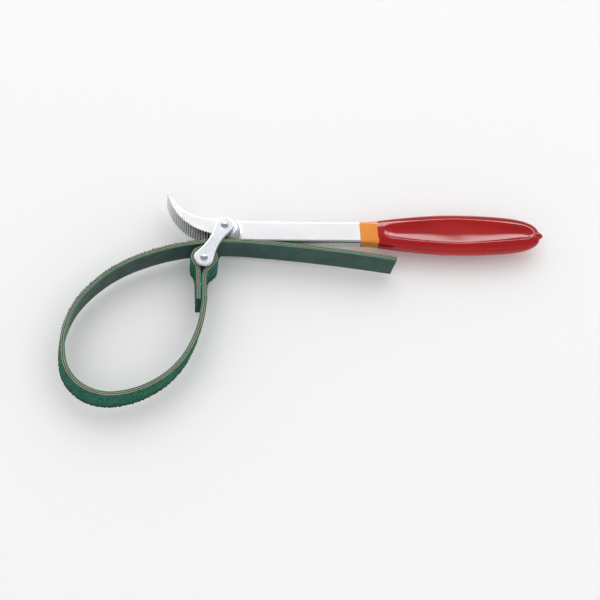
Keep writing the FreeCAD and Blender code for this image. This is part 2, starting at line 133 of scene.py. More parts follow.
def smooth(tree, value, low, high):
    """Rises smoothly from 0 at low to 1 at high."""
    return put(tree, "ShaderNodeMapRange", (value, low, high), interpolation_type="SMOOTHSTEP").outputs[0]


def blend_colours(tree, share, first, second):
    """Mixes two colours by a share."""
    node = put(tree, "ShaderNodeMix", {0: share, 6: first, 7: second}, data_type="RGBA")
    return node.outputs[2]


def rough_between(tree, shader, mask, low, high):
    """Roughness that goes from low to high with a mask."""
    rough = put(tree, "ShaderNodeMapRange", (mask, 0.0, 1.0, low, high)).outputs[0]
    fill(tree, shader.inputs["Roughness"], rough)


def bumpy(tree, shader, height, strength, distance):
    """A bump from a height, on the shader's normal."""
    bump = put(tree, "ShaderNodeBump", {"Strength": strength, "Distance": distance, "Height": height})
    fill(tree, shader.inputs["Normal"], bump.outputs[0])


def srgb(red, green, blue):
    """A colour given the way paint charts give it, from 0 to 255."""
    parts = [part / 255 for part in (red, green, blue)]
    return tuple(part / 12.92 if part < 0.04045 else ((part + 0.055) / 1.055) ** 2.4
                 for part in parts) + (1.0,)


def new_material(name):
    """A material with an empty tree, its output and its Principled shader."""
    material = bpy.data.materials.new(name)
    material.use_nodes = True
    tree = material.node_tree
    tree.nodes.clear()
    shader = put(tree, "ShaderNodeBsdfPrincipled")
    output = put(tree, "ShaderNodeOutputMaterial")
    tree.links.new(shader.outputs[0], output.inputs[0])
    return material, tree, shader


# %% Floor finish
floor_paint, tree, shader = new_material("floor_paint")
grain = put(tree, "ShaderNodeTexNoise", {"Scale": 3.0, "Detail": 2.0})
shade = blend_colours(tree, grain.outputs[0], srgb(250, 250, 250), srgb(252, 252, 252))
fill(tree, shader.inputs["Base Color"], shade)
shader.inputs["Roughness"].default_value = 0.9
floor_mesh.materials.append(floor_paint)


# %% Light
def softbox(name, direction, distance, size, radiance, mirrored):
    """A rectangular lamp that faces the hub; radiance is how bright it looks."""
    lamp = bpy.data.lights.new(name, "AREA")
    lamp.shape = "RECTANGLE"
    lamp.size = size[0]
    lamp.size_y = size[1]
    lamp.energy = radiance * math.pi * size[0] * size[1]
    holder = bpy.data.objects.new(name, lamp)
    aim = Vector(direction).normalized()
    holder.location = hub + aim * distance
    holder.rotation_euler = aim.to_track_quat("Z", "Y").to_euler()
    holder.visible_glossy = mirrored
    bpy.context.scene.collection.objects.link(holder)
    print(name, "gives", round(lamp.energy, 2), "W")


softbox("key_softbox", (0.10, 0.62, 0.78), 1.6, (1.8, 1.2), 0.6, False)


# %% [markdown]
# Glossy skins mirror the room, matte ones only add it up. So the room has two looks: evenly bright
# for matte surfaces, which keeps the shadows faint, and for mirror rays a dim room with a window
# band that hangs behind the tool. The band is drawn from the ray's angle round the X axis.

# %% Room
window_light = 8.0
halo_light = 0.33
wall_light = 0.42
front_light = 0.35
dome_light = 1.1


def band(tree, value, low, high, edge):
    """1 between two limits, with soft edges."""
    enter = smooth(tree, value, low - edge, low + edge)
    leave = smooth(tree, value, high + edge, high - edge)
    return calc(tree, "MULTIPLY", enter, leave)


world = bpy.data.worlds.new("pale_room")
world.use_nodes = True
room = world.node_tree
room.nodes.clear()
ray = axes_of(room, put(room, "ShaderNodeTexCoord").outputs["Generated"])
angle = calc(room, "MULTIPLY", calc(room, "ARCTAN2", ray[2], ray[1]), 180 / math.pi)
sideways = calc(room, "ABSOLUTE", calc(room, "SUBTRACT", ray[0], 0.05))
narrow = smooth(room, sideways, 0.85, 0.45)
window = calc(room, "MULTIPLY", band(room, angle, 27.0, 50.5, 4.0), narrow)
halo = calc(room, "MULTIPLY", band(room, angle, 30.0, 66.0, 8.0), narrow)
front = band(room, angle, 118.0, 170.0, 14.0)
walls = calc(room, "MULTIPLY_ADD", halo, halo_light, wall_light)
dim = calc(room, "MULTIPLY_ADD", window, window_light, walls)
mirror_look = calc(room, "MULTIPLY_ADD", front, front_light, dim)
is_mirror = put(room, "ShaderNodeLightPath").outputs["Is Glossy Ray"]
strength = put(room, "ShaderNodeMix", {0: is_mirror, 2: dome_light, 3: mirror_look}).outputs[0]
background = put(room, "ShaderNodeBackground", {"Strength": strength})
world_output = put(room, "ShaderNodeOutputWorld", (background.outputs[0],))
bpy.context.scene.world = world
bpy.context.scene.view_settings.view_transform = "Standard"


# %% [markdown]
# ## Steel
# The lever is forged and plated, and its skin stays a little grainy. The links, rivets and washers
# are polished. Both share the same small effects, so those are node groups: one gives a fine grain
# as a mask and a normal, the other gives soft patches where the plating is duller.

# %% Shared effects
def new_group(name, inputs, outputs):
    """A shader group with numbers in, and its group input and output nodes."""
    group = bpy.data.node_groups.new(name, "ShaderNodeTree")
    for label, value in inputs.items():
        group.interface.new_socket(label, in_out="INPUT", socket_type="NodeSocketFloat").default_value = value
    for label, kind in outputs.items():
        group.interface.new_socket(label, in_out="OUTPUT", socket_type=kind)
    return group, put(group, "NodeGroupInput"), put(group, "NodeGroupOutput")


def fine_grain_group():
    """Grain a few tenths of a millimetre wide, as a mask and as a normal."""
    group, given, result = new_group("fine_grain", {"Scale": 2500.0, "Strength": 0.2, "Depth": 0.0001},
                                     {"Mask": "NodeSocketFloat", "Normal": "NodeSocketVector"})
    place = put(group, "ShaderNodeTexCoord").outputs["Object"]
    noise = put(group, "ShaderNodeTexNoise",
                {"Vector": place, "Scale": given.outputs["Scale"], "Detail": 3.0})
    bump = put(group, "ShaderNodeBump", {"Strength": given.outputs["Strength"],
                                         "Distance": given.outputs["Depth"], "Height": noise.outputs[0]})
    fill(group, result.inputs["Mask"], noise.outputs[0])
    fill(group, result.inputs["Normal"], bump.outputs[0])
    return group


def dull_patches_group():
    """Soft patches a few centimetres wide with finer smudges inside them."""
    group, given, result = new_group("dull_patches", {"Scale": 60.0, "Low": 0.4, "High": 0.7},
                                     {"Mask": "NodeSocketFloat"})
    place = put(group, "ShaderNodeTexCoord").outputs["Object"]
    wide = put(group, "ShaderNodeTexNoise", {"Vector": place, "Scale": given.outputs["Scale"], "Detail": 5.0,
                                             "Roughness": 0.6})
    patch = put(group, "ShaderNodeMapRange", (wide.outputs[0], given.outputs["Low"], given.outputs["High"]),
                interpolation_type="SMOOTHSTEP").outputs[0]
    fill(group, result.inputs["Mask"], patch)
    return group


fine_grain = fine_grain_group()
dull_patches = dull_patches_group()


def use_group(tree, group, **values):
    """Places a shared group in a material with this material's own values."""
    node = put(tree, "ShaderNodeGroup")
    node.node_tree = group
    for label, value in values.items():
        fill(tree, node.inputs[label], value)
    return node


# %% Painted shade in the grooves between the teeth
tooth_centre = hub + Vector((-0.7, 35.3, 0.0)) * MM
tooth_radius = 41.0 * MM
tooth_depth = 0.75 * MM
tooth_step = 2.1 / 41.0
first_tooth = math.radians(190.5 - 360.0)
last_tooth = math.radians(-100.0)


def groove_shade(tree):
    """Mask for painted shade: 1 at the bottom of a groove of the toothed edge, 0 at a tooth and everywhere
    else.
    """
    place = axes_of(tree, put(tree, "ShaderNodeTexCoord").outputs["Object"])
    right = calc(tree, "SUBTRACT", place[0], tooth_centre.x)
    far = calc(tree, "SUBTRACT", place[1], tooth_centre.y)
    angle = calc(tree, "ARCTAN2", far, right)
    radius = calc(tree, "SQRT", calc(tree, "ADD", calc(tree, "MULTIPLY", right, right),
                                     calc(tree, "MULTIPLY", far, far)))
    turn = calc(tree, "FRACT", calc(tree, "DIVIDE", calc(tree, "SUBTRACT", angle, first_tooth), tooth_step))
    groove = smooth(tree, calc(tree, "ABSOLUTE", calc(tree, "SUBTRACT", turn, 0.5)), 0.22, 0.46)
    at_edge = calc(tree, "GREATER_THAN", radius, tooth_radius - tooth_depth - 0.1 * MM)
    on_jaw = calc(tree, "LESS_THAN", angle, last_tooth)
    return calc(tree, "MULTIPLY", groove, calc(tree, "MULTIPLY", at_edge, on_jaw))


# %% Steel finishes
def steel(name, bright, dull, polish, smudged, grain_scale, grain_strength, shade_grooves=False):
    """A plated steel: two greys in soft patches, two roughness values with them, and painted shade in the
    jaw's grooves if asked.
    """
    material, tree, shader = new_material(name)
    patches = use_group(tree, dull_patches, Scale=90.0, Low=0.38, High=0.68).outputs["Mask"]
    grain = use_group(tree, fine_grain, Scale=grain_scale, Strength=grain_strength, Depth=0.00012)
    speck = smooth(tree, grain.outputs["Mask"], 0.35, 0.75)
    tone = calc(tree, "MULTIPLY_ADD", speck, 0.5, calc(tree, "MULTIPLY", patches, 0.5))
    colour = blend_colours(tree, tone, bright, dull)
    if shade_grooves:
        # Painted shade: the bottoms of the jaw's grooves are darkened in the colour
        painted_groove_shade = calc(tree, "MULTIPLY", groove_shade(tree), 0.85)
        colour = blend_colours(tree, painted_groove_shade, colour, srgb(58, 60, 64))
    fill(tree, shader.inputs["Base Color"], colour)
    rough_between(tree, shader, tone, polish, smudged)
    fill(tree, shader.inputs["Normal"], grain.outputs["Normal"])
    shader.inputs["Metallic"].default_value = 1.0
    return material


forged_steel = steel("forged_steel", srgb(220, 220, 222), srgb(211, 211, 213), 0.21, 0.27, 1500.0, 0.08, True)
polished_link = steel("polished_link", srgb(227, 231, 236), srgb(210, 216, 224), 0.18, 0.28, 700.0, 0.05)
rivet_steel = steel("rivet_steel", srgb(196, 198, 201), srgb(176, 179, 183), 0.36, 0.46, 900.0, 0.10)

steel_nodes = {"forged_lever": forged_steel, "front_link_plate": polished_link,
               "rear_link_plate": polished_link, "hub_rivet": rivet_steel, "eye_rivet": rivet_steel,
               "eye_sleeve": rivet_steel, "front_hub_washer": rivet_steel, "rear_hub_washer": rivet_steel}
for node_name, material in steel_nodes.items():
    carried = frame["nodes"][node_name]
    carried.data.materials.clear()
    carried.data.materials.append(material)
print("steel finishes on", len(steel_nodes), "parts")


# %% [markdown]
# ## The dipped grip
# The handle end is dipped twice in liquid vinyl. The first coat is orange, the second is red and
# shows the orange as a band. The drop that runs off last leaves a small nib. A skin made by
# dipping has no sharp edge anywhere, so the mesh is a row of rounded sections whose height and
# thickness follow a rule, with a shallow oval dish pressed into each face.

# %% Sizes of the grip
bar_axis = hub.y + 0.8 * MM
grip_start = hub.x + 112.4 * MM
grip_length = 122.5 * MM
grip_half_height = 16.6 * MM
grip_half_thickness = 7.0 * MM
widest_share = 0.48
start_share = 0.63
end_taper = 0.27


def grip_section(share):
    """Half height and half thickness of the handle at a share of its length."""
    if share <= widest_share:
        swell = start_share + (1 - start_share) * math.sin(math.pi / 2 * share / widest_share)
        closing = 1.0
    else:
        fall = min(1.0, (share - widest_share) / (1 - widest_share))
        swell = (1 - end_taper * fall ** 2) * (1 - fall ** 7) ** 0.4
        closing = math.sqrt(1 - fall ** 14)
    return grip_half_height * swell, grip_half_thickness * (0.30 + 0.70 * swell) * closing


# %% [markdown]
# The dish has its own outline: widest in the middle, tapering to both ends, which are rounded.
# Depth grows inwards from that outline, first quickly, which makes the rim's inner wall, then
# slowly, which makes the hollow floor. A little waviness keeps the floor's reflection alive.

# %% Dish in the grip
dish_half_height_most = 10.6 * MM
dish_taper = 1.85
dish_start = 0.037
dish_end = 0.958
dish_end_reach = 6.5 * MM
dish_wall = 2.4 * MM
wall_depth = 0.5 * MM
floor_depth = 1.7 * MM


def rise(value):
    """Smooth step from 0 to 1."""
    value = min(1.0, max(0.0, value))
    return value * value * (3 - 2 * value)


def dish_half_height(share):
    """Half height of the dish's outline."""
    end_room = min(share - dish_start, dish_end - share) * grip_length
    if end_room <= 0:
        return 0.0
    rounding = max(0.0, 1 - end_room / dish_end_reach)
    narrowing = dish_taper * abs(share - widest_share) ** 1.6
    return dish_half_height_most * (1 - narrowing) * math.sqrt(1 - rounding ** 2)


def waviness(share, y):
    """Slow swell of the dipped floor, about a twentieth of a millimetre."""
    along = share * grip_length / MM
    return (math.sin(along / 9.0 + 1.3) + 0.7 * math.sin(along / 5.2 + y / MM / 4.0)) * 0.035 * MM


def dish_depth(share, y):
    """How far the face is pressed in at a place on the handle."""
    half = dish_half_height(share)
    inside = half - abs(y)
    if inside <= 0:
        return 0.0
    end_room = min(share - dish_start, dish_end - share) * grip_length
    wall = rise(inside / dish_wall) * rise(end_room / dish_wall)
    hollow = (1 - (y / half) ** 2) * rise(end_room / (9 * MM))
    return wall_depth * wall + floor_depth * hollow + waviness(share, y) * wall


# %% Mesh of the grip
def tube_faces(rings, around):
    """Quads between neighbouring rings, with a closing face at each end."""
    faces = []
    for ring in range(rings - 1):
        for side in range(around):
            following = (side + 1) % around
            low = ring * around
            faces.append((low + side, low + following, low + around + following, low + around + side))
    faces.append(tuple(reversed(range(around))))
    faces.append(tuple((rings - 1) * around + side for side in range(around)))
    return faces


def piece_from(name, vertices, faces, material):
    """A smooth mesh piece at the origin."""
    mesh = bpy.data.meshes.new(name)
    mesh.from_pydata(vertices, [], faces)
    mesh.polygons.foreach_set("use_smooth", [True] * len(mesh.polygons))
    mesh.materials.append(material)
    piece = bpy.data.objects.new(name, mesh)
    bpy.context.scene.collection.objects.link(piece)
    print(name, "has", len(mesh.vertices), "vertices")
    return piece


def squircle(angle, half_height, half_thickness, squareness):
    """Point on a rounded oblong, as height and thickness."""
    power = 2 / squareness
    cosine = math.cos(angle)
    sine = math.sin(angle)
    return (math.copysign(abs(cosine) ** power, cosine) * half_height,
            math.copysign(abs(sine) ** power, sine) * half_thickness)


grip_rings = 260
grip_around = 144
lip_shares = (0.0, 0.0004, 0.0012, 0.0025, 0.0045)
lip_insets = (0.8, 0.42, 0.16, 0.04, 0.0)


def grip_stations():
    """Share of the length and inset of the outline, for each ring."""
    rings = list(zip(lip_shares, lip_insets))
    for index in range(1, grip_rings):
        share = index / (grip_rings - 1)
        eased = 1 - (1 - share) ** 1.4
        rings.append((lip_shares[-1] + (1 - lip_shares[-1]) * min(eased, 0.99995), 0.0))
    return rings


def grip_mesh():
    """Vertices of the second coat, with the nib drawn out of its end."""
    vertices = []
    rings = grip_stations()
    for share, inset in rings:
        half_height, half_thickness = grip_section(share)
        x = grip_start + share * grip_length
        squareness = 3.2 - 0.8 * rise(share / 0.3)
        for side in range(grip_around):
            angle = 2 * math.pi * side / grip_around
            y, z = squircle(angle, half_height - inset * MM, half_thickness - inset * MM, squareness)
            face = rise((abs(z) / half_thickness - 0.35) / 0.4)
            z -= math.copysign(dish_depth(share, y) * face, z)
            vertices.append((x, bar_axis + y, hub.z + z))
    return vertices, tube_faces(len(rings), grip_around)


# %% [markdown]
# The nib is a small cone with a round tip that grows out of the coat's end, so it is its own
# surface of revolution, sunk a few millimetres into the grip and joined to it as one piece.

# %% Nib
def nib_mesh():
    """A round cone along the handle's axis."""
    profile = [(-5.0, 3.3), (-3.0, 3.5), (-1.8, 3.35), (-1.0, 3.1), (-0.3, 2.78), (0.3, 2.45),
               (0.9, 2.05), (1.4, 1.66), (1.8, 1.25), (2.1, 0.85), (2.3, 0.45), (2.38, 0.15)]
    around = 32
    end = grip_start + grip_length
    vertices = []
    for along, radius in profile:
        for side in range(around):
            angle = 2 * math.pi * side / around
            vertices.append((end + along * MM, bar_axis + math.cos(angle) * radius * MM,
                             hub.z + math.sin(angle) * radius * MM))
    return vertices, tube_faces(len(profile), around)


# %% Vinyl
def dipped_vinyl(name, light, deep):
    """Glossy dipped vinyl: almost even colour, a very slight orange peel, a clear skin."""
    material, tree, shader = new_material(name)
    patches = use_group(tree, dull_patches, Scale=45.0, Low=0.3, High=0.75).outputs["Mask"]
    peel = use_group(tree, fine_grain, Scale=260.0, Strength=0.05, Depth=0.0003)
    fill(tree, shader.inputs["Base Color"], blend_colours(tree, patches, light, deep))
    rough_between(tree, shader, peel.outputs["Mask"], 0.16, 0.30)
    fill(tree, shader.inputs["Normal"], peel.outputs["Normal"])
    shader.inputs["Coat Weight"].default_value = 1.0
    shader.inputs["Coat Roughness"].default_value = 0.07
    shader.inputs["Coat IOR"].default_value = 1.52
    shader.inputs["Specular IOR Level"].default_value = 0.0
    return material


red_vinyl = dipped_vinyl("red_vinyl", srgb(170, 10, 14), srgb(158, 6, 10))
orange_vinyl = dipped_vinyl("orange_vinyl", srgb(240, 150, 62), srgb(232, 140, 46))

# %% Second coat
grip_vertices, grip_faces = grip_mesh()
second_coat = piece_from("second_dip_skin", grip_vertices, grip_faces, red_vinyl)
nib_vertices, nib_faces = nib_mesh()
nib = piece_from("drip_nib", nib_vertices, nib_faces, red_vinyl)
for piece in (second_coat, nib):
    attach(piece, "lever")
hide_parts("second_dip_coat")

# %% [markdown]
# The first coat only shows as a band round the flat bar. Its free edge is where the tool was
# lowered to, so it is not quite straight, and surface tension rolls it down to the steel.

# %% First coat
band_start = hub.x + 99.5 * MM
band_length = 12.9 * MM
band_edge = [(0.0, 0.55), (0.004, 0.28), (0.012, 0.10), (0.03, 0.0)]
band_sizes = [(0.0, 8.9, 4.15, 1.65), (0.5, 9.2, 4.35, 2.2), (1.0, 10.3, 4.95, 4.0)]


def between(share, sizes):
    """Half height, half thickness and corner radius at a share, on a smooth line through three."""
    first, middle, last = [size[1:] for size in sizes]
    weights = (2 * (share - 0.5) * (share - 1), 4 * share * (1 - share), 2 * share * (share - 0.5))
    return [sum(weight * part for weight, part in zip(weights, parts))
            for parts in zip(first, middle, last)]


def bar_outline(half_height, half_thickness, radius, per_corner=10):
    """Points round a bar with round corners."""
    points = []
    for corner, (sy, sz) in enumerate(((1, 1), (-1, 1), (-1, -1), (1, -1))):
        for step in range(per_corner):
            angle = math.pi / 2 * (corner + step / (per_corner - 1))
            points.append((sy * (half_height - radius) + radius * math.cos(angle),
                           sz * (half_thickness - radius) + radius * math.sin(angle)))
    return points


def band_mesh():
    """The band, from its rolled edge to where the second coat covers it."""
    vertices = []
    chance = random.Random(4)
    wander = [chance.uniform(-0.12, 0.12) for _ in range(3)]
    stations = band_edge + [(0.03 + 0.97 * step / 12, 0.0) for step in range(1, 13)] + [(1.06, 0.0)]
    for share, inset in stations:
        sizes = between(min(share, 1.0), band_sizes)
        ring = bar_outline(*[(size - inset) * MM for size in sizes])
        for index, (y, z) in enumerate(ring):
            turn = 2 * math.pi * index / len(ring)
            slip = sum(size * math.sin((order + 1) * turn + order) for order, size in enumerate(wander))
            free = 1 - rise(share / 0.4)
            vertices.append((band_start + share * band_length + slip * free * MM,
                             bar_axis + y, hub.z + z))
    return vertices, tube_faces(len(stations), len(ring))


band_vertices, band_faces = band_mesh()
first_coat = piece_from("first_dip_band", band_vertices, band_faces, orange_vinyl)
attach(first_coat, "lever")
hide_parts("first_dip_coat")

# %% [markdown]
# ## The belt's line
# The belt is one strip. It starts at a cut end, goes up and round the sleeve, comes back down
# against itself, makes the loop, passes between the hub and the eye and ends as a free tail. A
# strip that only bends flat can be drawn as straight runs and arcs that meet without a kink, so
# the line is a short list of lengths and radii. Two straight runs take up whatever is left over.

# %% Belt sizes
strap_width = 20.0 * MM
strap_thickness = 3.5 * MM
half_strap = strap_thickness / 2
cover_thickness = 1.1 * MM
eye_mid_radius = 6.4 * MM + half_strap
eye_sag = 1.9 * MM
leg_shift = 0.4 * MM
leg_gap = 0.7 * MM
leg_bend = 14.0 * MM
folded_leg_end = 32.3 * MM
tail_length = 122.0 * MM
tail_bend = 1270.0 * MM
tail_slant = 2.1 * MM
throat = hub + Vector((3.0, -11.15, 0.0)) * MM
loop_arcs = [(111.5, 26.6), (64.2, 57.1), (32.4, 86.9), (66.9, 48.0), (99.4, 29.2)]
top_arcs = [(141.7, 17.1), (197.4, 5.1)]
heel_arc = (190.0, 5.0)


# %% Belt line
def heading_vector(heading):
    return Vector((math.cos(heading), math.sin(heading), 0.0))


def left_of(heading):
    return Vector((-math.sin(heading), math.cos(heading), 0.0))


def along_piece(piece, distance):
    """Place and heading on one piece; a radius above 0 turns right, below 0 left, 0 is straight."""
    start, heading, _, radius = piece
    if radius == 0:
        return start + heading_vector(heading) * distance, heading
    turned = heading - distance / radius
    return start + (left_of(turned) - left_of(heading)) * radius, turned


def walk(start, heading, lengths):
    """Joins (length, radius) pieces end to end, and gives them with the end's place."""
    route = []
    for length, radius in lengths:
        route.append((start, heading, length, radius))
        start, heading = along_piece(route[-1], length)
    return route, start


def bends(arcs):
    """(length, radius) of arcs given as millimetres and degrees."""
    return [(radius * MM * math.radians(degrees), radius * MM) for radius, degrees in arcs]


def belt_route():
    """Every piece of the belt's middle line, from the cut end to the tail."""
    eye_centre = eye_axis + Vector((leg_shift, eye_sag, 0.0))
    reach = eye_mid_radius + leg_bend
    folded_shift = strap_thickness + leg_gap + leg_shift
    folded_turn = math.acos((leg_bend + folded_shift) / reach)
    main_turn = math.acos((leg_bend - leg_shift) / reach)
    cut_end = Vector((eye_centre.x - folded_shift, eye_axis.y - folded_leg_end, hub.z))
    first_straight = eye_centre.y - reach * math.sin(folded_turn) - cut_end.y
    sewn = [(first_straight, 0.0), (leg_bend * folded_turn, -leg_bend),
            (eye_mid_radius * (math.pi + folded_turn + main_turn), eye_mid_radius),
            (leg_bend * main_turn, -leg_bend)]
    heel = bends([heel_arc])
    rest = [(tail_length - heel[0][0], tail_bend)]
    _, loop_end = walk(cut_end, math.pi / 2, sewn + bends(loop_arcs + top_arcs))
    miss = throat - loop_end
    down = heading_vector(-math.pi / 2)
    up = heading_vector(-math.pi / 2 - math.radians(sum(degrees for _, degrees in loop_arcs)))
    across = down.x * up.y - down.y * up.x
    straight_down = (miss.x * up.y - miss.y * up.x) / across
    straight_up = (down.x * miss.y - down.y * miss.x) / across
    lengths = sewn + [(straight_down, 0.0)] + bends(loop_arcs) + [(straight_up, 0.0)]
    return walk(cut_end, math.pi / 2, lengths + bends(top_arcs) + heel + rest)[0]


route = belt_route()
belt_length = sum(piece[2] for piece in route)
loop_start = sum(piece[2] for piece in route[:4])
loop_end = sum(piece[2] for piece in route[:-1])
print("belt is", round(belt_length / MM, 1), "mm long in", len(route), "pieces")


def belt_place(distance):
    """Place and heading on the belt's middle line."""
    for piece in route:
        if distance <= piece[2] or piece is route[-1]:
            return along_piece(piece, distance)
        distance -= piece[2]


# %% [markdown]
# Each hinge of the frame's belt lies on this line. The shown belt is cut half way between hinges,
# so that every piece has one hinge near its middle.

# %% Where the belt bends
fine_step = 0.25 * MM
line_points = [belt_place(index * fine_step)[0] for index in range(int(belt_length / fine_step) + 1)]
hinge_names = ["loop_right_top", "loop_right_mid", "loop_right_low", "loop_left_low", "loop_feed",
               "loop_left_top", "tail_bend"]
span_names = ["eye", "right_upper", "right_lower", "bight", "left_lower", "left_upper", "throat", "tail"]


def belt_distance(point):
    """How far along the belt the nearest place to a point is."""
    return min(range(len(line_points)), key=lambda index: (line_points[index] - point).length) * fine_step


hinges = [belt_distance(joint_place(name)) for name in hinge_names]
cuts = [0.0] + [(a + b) / 2 for a, b in zip(hinges, hinges[1:])] + [belt_length]
print("hinges at", [round(hinge / MM, 1) for hinge in hinges], "mm along the belt")

# %% [markdown]
# ## Belt layers with Geometry Nodes
# A belt layer is a long block that follows the line, so one tree makes all of them: it starts from
# a block of small faces, reads where on the belt each point is, presses the rough pattern into the
# outer side and moves the point to its place beside the line. The tree also writes that place on
# the belt as an attribute, and the materials read it, so colour and shape always agree.


# %% Helpers for geometry trees
crisp_bend = 1.1


def new_tree(name, inputs):
    """A geometry tree with named inputs, and its two end nodes."""
    tree = bpy.data.node_groups.new(name, "GeometryNodeTree")
    tree.interface.new_socket("Geometry", in_out="INPUT", socket_type="NodeSocketGeometry")
    for label, value in inputs.items():
        kind = {float: "NodeSocketFloat", int: "NodeSocketInt"}.get(type(value), "NodeSocketMaterial")
        socket = tree.interface.new_socket(label, in_out="INPUT", socket_type=kind)
        if value is not None:
            socket.default_value = value
    tree.interface.new_socket("Geometry", in_out="OUTPUT", socket_type="NodeSocketGeometry")
    return tree, put(tree, "NodeGroupInput").outputs, put(tree, "NodeGroupOutput")


def keep(tree, geometry, name, value, kind="FLOAT", domain="POINT"):
    """Writes a value on the geometry under a name."""
    return put(tree, "GeometryNodeStoreNamedAttribute", {"Geometry": geometry, "Name": name, "Value": value},
               data_type=kind, domain=domain).outputs[0]


def kept(tree, name, kind="FLOAT"):
    """Reads what keep wrote."""
    return put(tree, "GeometryNodeInputNamedAttribute", {"Name": name}, data_type=kind).outputs[0]


def finish_tree(tree, given, result, geometry):
    """Smooth shading with crisp edges, real geometry and the finish, at the end of every tree."""
    shaded = put(tree, "GeometryNodeSetShadeSmooth", (geometry,)).outputs[0]
    bend = put(tree, "GeometryNodeInputMeshEdgeAngle").outputs["Unsigned Angle"]
    sharp = calc(tree, "GREATER_THAN", bend, crisp_bend)
    crisp = put(tree, "GeometryNodeSetShadeSmooth", (shaded, sharp, False), domain="EDGE").outputs[0]
    real = put(tree, "GeometryNodeRealizeInstances", (crisp,)).outputs[0]
    finished = put(tree, "GeometryNodeSetMaterial", {"Geometry": real, "Material": given["Finish"]})
    fill(tree, result.inputs[0], finished.outputs[0])


def grow(name, tree, source, values):
    """Runs a tree on a copy of the source mesh and gives the result as a plain piece."""
    piece = bpy.data.objects.new(name, source.copy())
    bpy.context.scene.collection.objects.link(piece)
    modifier = piece.modifiers.new(tree.name, "NODES")
    modifier.node_group = tree
    sockets = {item.name: item.identifier for item in tree.interface.items_tree if item.in_out == "INPUT"}
    for label, value in values.items():
        modifier[sockets[label]] = value
    graph = bpy.context.evaluated_depsgraph_get()
    mesh = bpy.data.meshes.new_from_object(piece.evaluated_get(graph), preserve_all_data_layers=True,
                                           depsgraph=graph)
    piece.modifiers.clear()
    piece.data = mesh
    mesh.name = name
    print(name, "has", len(mesh.polygons), "faces")
    return piece


# %% Line as a mesh for the trees
line_mesh = bpy.data.meshes.new("belt_line")
line_edges = [(index, index + 1) for index in range(len(line_points) - 1)]
line_mesh.from_pydata([tuple(point) for point in line_points], line_edges, [])


# %% Tree for a belt layer
lean_right = 0.1025
lean_far = -0.0285
lean_ramp = 0.12


def leaning(tree, distance, width_place):
    """The free loop leans a little: how far a place moves for its height on the belt's width."""
    ramp = (loop_end - loop_start) * lean_ramp
    enter = smooth(tree, distance, loop_start, loop_start + ramp)
    leave = smooth(tree, distance, loop_end, loop_end - ramp)
    height = calc(tree, "MULTIPLY", width_place, calc(tree, "MULTIPLY", enter, leave))
    right = calc(tree, "MULTIPLY", height, lean_right)
    far = calc(tree, "MULTIPLY", height, lean_far)
    return vector_of(tree, right, far, width_place)


def beside_line(tree, curve, distance, offset, width_place):
    """The place beside the belt's line, at a distance along it."""
    sample = put(tree, "GeometryNodeSampleCurve", mode="LENGTH")
    fill(tree, sample.inputs["Curves"], curve)
    fill(tree, sample.inputs["Length"], distance)
    tangent = axes_of(tree, sample.outputs["Tangent"])
    turned = calc(tree, "MULTIPLY", tangent[1], -1.0)
    normal = vector_of(tree, turned, tangent[0], 0.0)
    side = put(tree, "ShaderNodeVectorMath", {0: normal, "Scale": offset}, operation="SCALE").outputs[0]
    up = leaning(tree, distance, width_place)
    moved = put(tree, "ShaderNodeVectorMath", (sample.outputs["Position"], side), operation="ADD").outputs[0]
    return put(tree, "ShaderNodeVectorMath", (moved, up), operation="ADD").outputs[0]


def rough_top(tree, given, distance, width_place):
    """The rough cover's pattern: staggered pits of uneven depth, and how deep each place is."""
    row_place = calc(tree, "DIVIDE", width_place, given["Pitch across"])
    row = calc(tree, "FLOOR", row_place)
    stagger = calc(tree, "MULTIPLY", calc(tree, "MODULO", row, 2.0), 0.5)
    flat_place = vector_of(tree, distance, width_place, 0.0)
    wander = put(tree, "ShaderNodeTexNoise",
                 {"Vector": flat_place, "Scale": 240.0, "Detail": 1.0}).outputs[0]
    drift = calc(tree, "MULTIPLY", calc(tree, "SUBTRACT", wander, 0.5), 0.9)
    column_place = calc(tree, "ADD", calc(tree, "ADD", calc(tree, "DIVIDE", distance, given["Pitch along"]),
                                          stagger), drift)
    column = calc(tree, "FLOOR", column_place)
    cell = vector_of(tree, column, row, 0.0)
    chance = put(tree, "ShaderNodeTexWhiteNoise", {"Vector": cell}, noise_dimensions="3D").outputs[0]
    along = calc(tree, "SUBTRACT", calc(tree, "FRACT", column_place), 0.5)
    across = calc(tree, "SUBTRACT", calc(tree, "FRACT", row_place), 0.5)
    along = calc(tree, "MULTIPLY", along, 1.15)
    across = calc(tree, "MULTIPLY", across, 1.6)
    radius = calc(tree, "SQRT", calc(tree, "ADD", calc(tree, "MULTIPLY", along, along),
                                     calc(tree, "MULTIPLY", across, across)))
    pit = smooth(tree, radius, 0.52, 0.16)
    uneven = calc(tree, "MULTIPLY_ADD", chance, 0.75, 0.3)
    return calc(tree, "MULTIPLY", pit, uneven)


